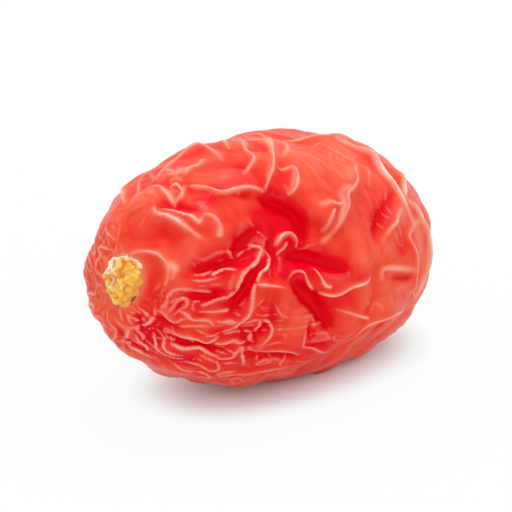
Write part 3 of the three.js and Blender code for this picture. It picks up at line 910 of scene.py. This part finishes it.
def make_stub():
    """Broken pith: uneven lumps of all heights with torn edges."""
    net = nets(STUB_LEVELS, lambda points: points / np.linalg.norm(points, axis=1, keepdims=True))[-1]
    form = stub_form(net.points)
    out = net.normals(form)
    random = np.random.default_rng(SEED + 20)
    spots = random.normal(size=(STUB_LUMPS, 3))
    spots = stub_form(spots / np.linalg.norm(spots, axis=1, keepdims=True))
    torn = np.stack([smooth_noise(form, 0.22, SEED + 23 + axis) for axis in range(3)], 1)
    torn += 0.5 * np.stack([smooth_noise(form, 0.09, SEED + 26 + axis) for axis in range(3)], 1)
    away = np.linalg.norm((form + TEAR * torn)[:, None] - spots[None], axis=2)
    owner = away.argmin(1)
    away.sort(1)
    crevice = np.clip(1 - (away[:, 1] - away[:, 0]) / CREVICE_WIDTH, 0, 1)
    height = random.uniform(*LUMP_HEIGHTS, STUB_LUMPS)[owner]
    grain = 0.04 * smooth_noise(form, 0.13, SEED + 21) + 0.08 * smooth_noise(form, 0.32, SEED + 22)
    lumps = height * (1 - crevice**2) - CREVICE_DEPTH * crevice**2
    rise = net.smoothed(lumps, LUMP_SMOOTHING) + grain
    points = form + out * rise[:, None]
    # pale: partly each lump's own tone, at random, and partly painted light, paler towards the top and back
    # and on raised lumps
    pale = random.uniform(-0.3, 0.3, STUB_LUMPS)[owner] + 0.4 * form[:, 1] / STUB_RADIUS
    pale = np.clip(0.3 + pale + 0.3 * form[:, 2] / STUB_RADIUS + 2 * rise, 0, 1)
    # painted shade: darker towards the front and bottom, and in the crevices between the lumps
    shaded = 0.7 * smoothstep(0.2, 1.0, (-0.8 * form[:, 1] - 0.5 * form[:, 2]) / STUB_RADIUS)
    middle = STUB_SEAT + ((STUB_DEPTH - STUB_PROUD) / 2, 0, 0)
    return mesh_object(
        "stalk_stub", in_frame(points + middle), net.triangles,
        crevice=np.maximum(crevice, shaded), pale=pale, proud=smoothstep(0.0, -0.2, form[:, 0]),
    )


def crumb_tree():
    """A tree of geometry nodes that scatters torn crumbs of pith over the proud side of the stub."""
    tree = bpy.data.node_groups.new("pith crumbs", "GeometryNodeTree")
    tree.interface.new_socket("Stub", in_out="INPUT", socket_type="NodeSocketGeometry")
    tree.interface.new_socket("Crumbs per Square Metre", in_out="INPUT", socket_type="NodeSocketFloat")
    tree.interface.new_socket("Crumb Radius", in_out="INPUT", socket_type="NodeSocketFloat")
    tree.interface.new_socket("Seed", in_out="INPUT", socket_type="NodeSocketInt")
    tree.interface.new_socket("Material", in_out="INPUT", socket_type="NodeSocketMaterial")
    tree.interface.new_socket("Crumbs", in_out="OUTPUT", socket_type="NodeSocketGeometry")
    given = tree.nodes.new("NodeGroupInput").outputs

    def add(kind, **links):
        node = tree.nodes.new(kind)
        for name, value in links.items():
            socket = node.inputs[name.replace("_", " ")]
            if isinstance(value, (float, int, tuple, str)):
                socket.default_value = value
            else:
                tree.links.new(value, socket)
        return node

    def random_vector(low, high, seed):
        node = add("FunctionNodeRandomValue")
        node.data_type = "FLOAT_VECTOR"
        node.inputs[0].default_value = low
        node.inputs[1].default_value = high
        node.inputs["Seed"].default_value = seed
        return node.outputs[0]

    proud = add("GeometryNodeInputNamedAttribute", Name="proud").outputs["Attribute"]
    spots = add("GeometryNodeDistributePointsOnFaces", Mesh=given["Stub"], Seed=given["Seed"])
    spots.distribute_method = "RANDOM"
    tree.links.new(given["Crumbs per Square Metre"], spots.inputs["Density"])
    tree.links.new(proud, spots.inputs["Selection"])
    crumb = add("GeometryNodeMeshIcoSphere", Radius=given["Crumb Radius"], Subdivisions=2)
    placed = add(
        "GeometryNodeInstanceOnPoints", Points=spots.outputs["Points"], Instance=crumb.outputs["Mesh"],
        Rotation=random_vector((0.0, 0.0, 0.0), ANY_TURN, 1),
        Scale=random_vector(CRUMB_SMALLEST, CRUMB_LARGEST, 2),
    )
    paleness = add("FunctionNodeRandomValue")
    marked = add("GeometryNodeStoreNamedAttribute", Geometry=placed.outputs["Instances"], Name="pale")
    marked.domain = "INSTANCE"
    tree.links.new(paleness.outputs["Value"], marked.inputs["Value"])
    plain = add("GeometryNodeRealizeInstances", Geometry=marked.outputs["Geometry"])
    finished = add("GeometryNodeSetMaterial", Geometry=plain.outputs["Geometry"], Material=given["Material"])
    tree.links.new(finished.outputs["Geometry"], tree.nodes.new("NodeGroupOutput").inputs["Crumbs"])
    return tree


def make_crumbs(stub, pith):
    """The crumbs as a plain mesh of their own."""
    tree = crumb_tree()
    scatter = stub.modifiers.new("pith crumbs", "NODES")
    scatter.node_group = tree
    values = {
        "Crumbs per Square Metre": CRUMBS_PER_MM2 / MM**2,
        "Crumb Radius": CRUMB_RADIUS * MM,
        "Seed": SEED,
        "Material": pith,
    }
    for socket in tree.interface.items_tree:
        if socket.name in values:
            scatter[socket.identifier] = values[socket.name]
    settled = stub.evaluated_get(bpy.context.evaluated_depsgraph_get())
    mesh = bpy.data.meshes.new_from_object(settled)
    stub.modifiers.remove(scatter)
    crumbs = bpy.data.objects.new("pith_crumbs", mesh)
    bpy.context.scene.collection.objects.link(crumbs)
    return crumbs


# ------------------------------------------------------------------------------------------------------------
# Materials
# ------------------------------------------------------------------------------------------------------------


def linear(red, green, blue):
    """A colour from its usual 0 to 255 numbers."""
    parts = []
    for value in (red, green, blue):
        part = value / 255
        parts.append(part / 12.92 if part <= 0.04045 else ((part + 0.055) / 1.055) ** 2.4)
    return (*parts, 1.0)


def new_material(name):
    material = bpy.data.materials.new(name)
    material.use_nodes = True
    return material, material.node_tree, material.node_tree.nodes["Principled BSDF"]


def attribute(tree, name):
    node = tree.nodes.new("ShaderNodeAttribute")
    node.attribute_name = name
    return node.outputs["Fac"]


def map_range(tree, value, low, high, out_low=0.0, out_high=1.0):
    node = tree.nodes.new("ShaderNodeMapRange")
    node.inputs["From Min"].default_value = low
    node.inputs["From Max"].default_value = high
    node.inputs["To Min"].default_value = out_low
    node.inputs["To Max"].default_value = out_high
    tree.links.new(value, node.inputs["Value"])
    return node.outputs["Result"]


def mix_colour(tree, share, first, second):
    node = tree.nodes.new("ShaderNodeMix")
    node.data_type = "RGBA"
    for socket, value in ((node.inputs[0], share), (node.inputs[6], first), (node.inputs[7], second)):
        if isinstance(value, (tuple, float)):
            socket.default_value = value
        else:
            tree.links.new(value, socket)
    return node.outputs[2]


def noise_texture(tree, where, size_mm):
    node = tree.nodes.new("ShaderNodeTexNoise")
    node.inputs["Scale"].default_value = 1 / (size_mm * MM)
    node.inputs["Detail"].default_value = 3.0
    node.inputs["Roughness"].default_value = 0.55
    tree.links.new(where, node.inputs["Vector"])
    return node.outputs["Fac"]


def object_coordinates(tree):
    return tree.nodes.new("ShaderNodeTexCoord").outputs["Object"]


def fine_grain():
    """A group for every grown surface: fine grain that varies the roughness and roughens the surface."""
    group = bpy.data.node_groups.new("fine grain", "ShaderNodeTree")
    group.interface.new_socket("Where", in_out="INPUT", socket_type="NodeSocketVector")
    for name in ("Grains per Metre", "Smoothest", "Roughest", "Depth"):
        group.interface.new_socket(name, in_out="INPUT", socket_type="NodeSocketFloat")
    group.interface.new_socket("Roughness", in_out="OUTPUT", socket_type="NodeSocketFloat")
    group.interface.new_socket("Normal", in_out="OUTPUT", socket_type="NodeSocketVector")
    given = group.nodes.new("NodeGroupInput").outputs
    result = group.nodes.new("NodeGroupOutput").inputs
    noise = group.nodes.new("ShaderNodeTexNoise")
    noise.inputs["Detail"].default_value = 4.0
    group.links.new(given["Where"], noise.inputs["Vector"])
    group.links.new(given["Grains per Metre"], noise.inputs["Scale"])
    spread = group.nodes.new("ShaderNodeMapRange")
    spread.inputs["From Min"].default_value = 0.3
    spread.inputs["From Max"].default_value = 0.7
    group.links.new(noise.outputs["Fac"], spread.inputs["Value"])
    group.links.new(given["Smoothest"], spread.inputs["To Min"])
    group.links.new(given["Roughest"], spread.inputs["To Max"])
    group.links.new(spread.outputs["Result"], result["Roughness"])
    relief = group.nodes.new("ShaderNodeBump")
    group.links.new(given["Depth"], relief.inputs["Distance"])
    group.links.new(noise.outputs["Fac"], relief.inputs["Height"])
    group.links.new(relief.outputs["Normal"], result["Normal"])
    return group


def add_grain(tree, surface, group, where, size_mm, smoothest, roughest, depth_mm):
    """Places the fine grain in a material, with this material's own values."""
    node = tree.nodes.new("ShaderNodeGroup")
    node.node_tree = group
    tree.links.new(where, node.inputs["Where"])
    node.inputs["Grains per Metre"].default_value = 1 / (size_mm * MM)
    node.inputs["Smoothest"].default_value = smoothest
    node.inputs["Roughest"].default_value = roughest
    node.inputs["Depth"].default_value = depth_mm * MM
    tree.links.new(node.outputs["Roughness"], surface.inputs["Roughness"])
    tree.links.new(node.outputs["Normal"], surface.inputs["Normal"])


# Colours laid over the first one. The share of each follows a mark on the mesh: the mark, its values at no
# share and at the largest one, the largest share, and the colour from 0 to 255.
SKIN_LAYERS = [
    ("streak", -0.9, 0.9, 0.36, (252, 120, 88)),
    # painted shade: deeper red in the broad hollows
    ("hollow", 0.0, 0.7, 0.9, (238, 8, 26)),
    ("ridge", 0.0, -0.7, 0.85, (236, 8, 26)),  # painted shade: deeper red in the valleys between the ridges
    # painted sheen: pale patches as if lit
    ("painted_sheen", 0.0, 1.0, 1.0, (255, 152, 120)),
    # painted highlight spread beside the ridges
    ("highlight_halo", 0.2, 1.0, 0.3, (250, 114, 88)),
    # painted highlight: the ridges lighter
    ("ridge", 0.0, 1.0, 0.6, (250, 108, 80)),
    # painted shade: dark red in the grooves, over the pucker and on the lower side
    ("painted_shade", 0.06, 0.5, 1.0, (233, 0, 24)),
    # painted highlight on the crests
    ("crest_highlight", 0.1, 1.0, 0.95, (255, 184, 160)),
    ("crest_highlight", 0.85, 1.2, 0.9, (255, 224, 212)),  # painted highlight: the brightest of them
]
PITH_LAYERS = [
    # paler lumps: partly their own tone, partly painted light on the top, back and raised lumps
    ("pale", 0.3, 0.9, 0.95, (255, 242, 214)),
    # painted shade in the crevices and on the lower front side
    ("crevice", 0.2, 1.0, 0.8, (226, 104, 28)),
]


def laid_over(tree, colour, layers):
    for mark, none_at, most_at, most, tint in layers:
        share = map_range(tree, attribute(tree, mark), none_at, most_at, 0.0, most)
        colour = mix_colour(tree, share, colour, linear(*tint))
    return colour


def skin_material(grain):
    material, tree, surface = new_material("goji skin")
    where = object_coordinates(tree)
    mottle = map_range(tree, noise_texture(tree, where, 2.0), 0.35, 0.65)
    colour = mix_colour(tree, mottle, linear(238, 22, 22), linear(254, 84, 52))
    colour = laid_over(tree, colour, SKIN_LAYERS)
    tree.links.new(colour, surface.inputs["Base Color"])
    add_grain(tree, surface, grain, where, size_mm=0.22, smoothest=0.26, roughest=0.42, depth_mm=0.01)
    gloss = map_range(tree, attribute(tree, "ridge"), 0.0, 0.8, 0.03, 0.4)
    tree.links.new(gloss, surface.inputs["Coat Weight"])
    surface.inputs["Specular IOR Level"].default_value = 0.05
    surface.inputs["Subsurface Weight"].default_value = 0.4
    surface.inputs["Subsurface Radius"].default_value = (1.0, 0.15, 0.10)
    surface.inputs["Subsurface Scale"].default_value = 0.3 * MM
    surface.inputs["Coat Roughness"].default_value = 0.16
    return material


def pith_material(grain):
    material, tree, surface = new_material("stalk pith")
    where = object_coordinates(tree)
    blotch = map_range(tree, noise_texture(tree, where, 0.35), 0.4, 0.62)
    colour = mix_colour(tree, blotch, linear(255, 184, 48), linear(255, 218, 104))
    colour = laid_over(tree, colour, PITH_LAYERS)
    tree.links.new(colour, surface.inputs["Base Color"])
    add_grain(tree, surface, grain, where, size_mm=0.1, smoothest=0.5, roughest=0.8, depth_mm=0.03)
    surface.inputs["Subsurface Weight"].default_value = 0.25
    surface.inputs["Subsurface Radius"].default_value = (1.0, 0.6, 0.25)
    surface.inputs["Subsurface Scale"].default_value = 0.2 * MM
    return material


# ------------------------------------------------------------------------------------------------------------
# The floor, the light and the camera
# ------------------------------------------------------------------------------------------------------------

# In metres and degrees, unless a comment says otherwise.
CAMERA_AZIMUTH = -50.0
CAMERA_ELEVATION = 22.0
CAMERA_DISTANCE = 0.40
VIEW_WIDTH = 0.0196
WORLD_LIGHT = 0.68
SHADOW_REACH = 1.8  # mm: how far round the berry the floor's painted shadow reaches
FLOOR_WIDTH = 3.0
FLOOR_GLOW = 0.93


def seen_as_white(tree):
    """1 for the rays that should see a white background: the camera's, and those through gloss and glass."""
    light_path = tree.nodes.new("ShaderNodeLightPath")
    seen = light_path.outputs["Is Camera Ray"]
    for other in ("Is Glossy Ray", "Is Transmission Ray"):
        either = tree.nodes.new("ShaderNodeMath")
        either.operation = "MAXIMUM"
        tree.links.new(seen, either.inputs[0])
        tree.links.new(light_path.outputs[other], either.inputs[1])
        seen = either.outputs[0]
    return seen


def make_floor():
    half = FLOOR_WIDTH / 2
    mesh = bpy.data.meshes.new("floor")
    corners = [(-half, -half, 0), (half, -half, 0), (half, half, 0), (-half, half, 0)]
    mesh.from_pydata(corners, [], [(0, 1, 2, 3)])
    floor = bpy.data.objects.new("floor", mesh)
    bpy.context.scene.collection.objects.link(floor)
    material, tree, surface = new_material("white card")
    surface.inputs["Base Color"].default_value = (0.86, 0.86, 0.86, 1)
    surface.inputs["Roughness"].default_value = 0.9
    # Seen by the camera the card glows white; near the berry, where ambient occlusion is low, the glow is
    # weaker and dimmer: a painted shadow laid over the real one.
    white = tree.nodes.new("ShaderNodeEmission")
    open_sky = tree.nodes.new("ShaderNodeAmbientOcclusion")
    open_sky.inputs["Distance"].default_value = SHADOW_REACH * MM
    open_sky.samples = 8
    share = tree.nodes.new("ShaderNodeMath")
    share.operation = "MULTIPLY"
    tree.links.new(map_range(tree, open_sky.outputs["AO"], 0.05, 0.6, 0.0, FLOOR_GLOW), share.inputs[0])
    tree.links.new(map_range(tree, open_sky.outputs["AO"], 0.3, 0.85, 0.78, 1.0), white.inputs["Strength"])
    tree.links.new(seen_as_white(tree), share.inputs[1])
    both = tree.nodes.new("ShaderNodeMixShader")
    tree.links.new(share.outputs[0], both.inputs[0])
    tree.links.new(surface.outputs["BSDF"], both.inputs[1])
    tree.links.new(white.outputs["Emission"], both.inputs[2])
    tree.links.new(both.outputs[0], tree.nodes["Material Output"].inputs["Surface"])
    mesh.materials.append(material)


def softbox(name, place_mm, size_mm, power):
    light = bpy.data.lights.new(name, "AREA")
    light.shape = "DISK"
    light.size = size_mm * MM
    light.energy = power
    lamp = bpy.data.objects.new(name, light)
    lamp.location = Vector(place_mm) * MM
    lamp.rotation_euler = (Vector((0, 0, 4 * MM)) - lamp.location).to_track_quat("-Z", "Y").to_euler()
    bpy.context.scene.collection.objects.link(lamp)


def make_lights():
    world = bpy.data.worlds.new("white tent")
    world.use_nodes = True
    tree = world.node_tree
    tree.nodes["Background"].inputs["Color"].default_value = (1, 1, 1, 1)
    strength = map_range(tree, seen_as_white(tree), 0, 1, WORLD_LIGHT, 1.0)
    tree.links.new(strength, tree.nodes["Background"].inputs["Strength"])
    bpy.context.scene.world = world
    softbox("overhead softbox", place_mm=(30, 20, 150), size_mm=70, power=0.09)
    softbox("front softbox", place_mm=(-90, -110, 90), size_mm=90, power=0.04)


def make_camera():
    turn, rise = math.radians(CAMERA_AZIMUTH), math.radians(CAMERA_ELEVATION)
    back = Vector((math.sin(turn) * math.cos(rise), -math.cos(turn) * math.cos(rise), math.sin(rise)))
    low, high = (Vector(corner) for corner in cad_box)
    camera = bpy.data.cameras.new("camera")
    camera.sensor_width = 36
    camera.lens = camera.sensor_width * CAMERA_DISTANCE / VIEW_WIDTH
    camera.clip_start = 0.01
    seat = bpy.data.objects.new("camera", camera)
    seat.location = (low + high) / 2 + back * CAMERA_DISTANCE
    seat.rotation_euler = (-back).to_track_quat("-Z", "Y").to_euler()
    bpy.context.scene.collection.objects.link(seat)
    bpy.context.scene.camera = seat


# ------------------------------------------------------------------------------------------------------------
# The scene
# ------------------------------------------------------------------------------------------------------------

bpy.context.scene.view_settings.view_transform = "Standard"
make_camera()
make_lights()
make_floor()

grain = fine_grain()
skin = make_skin()
skin.data.materials.append(skin_material(grain))
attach(skin, "root")
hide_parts("berry")

pith = pith_material(grain)
stub = make_stub()
stub.data.materials.append(pith)
crumbs = make_crumbs(stub, pith)
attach(stub, "root")
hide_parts("stem_stub")
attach(crumbs, "root")
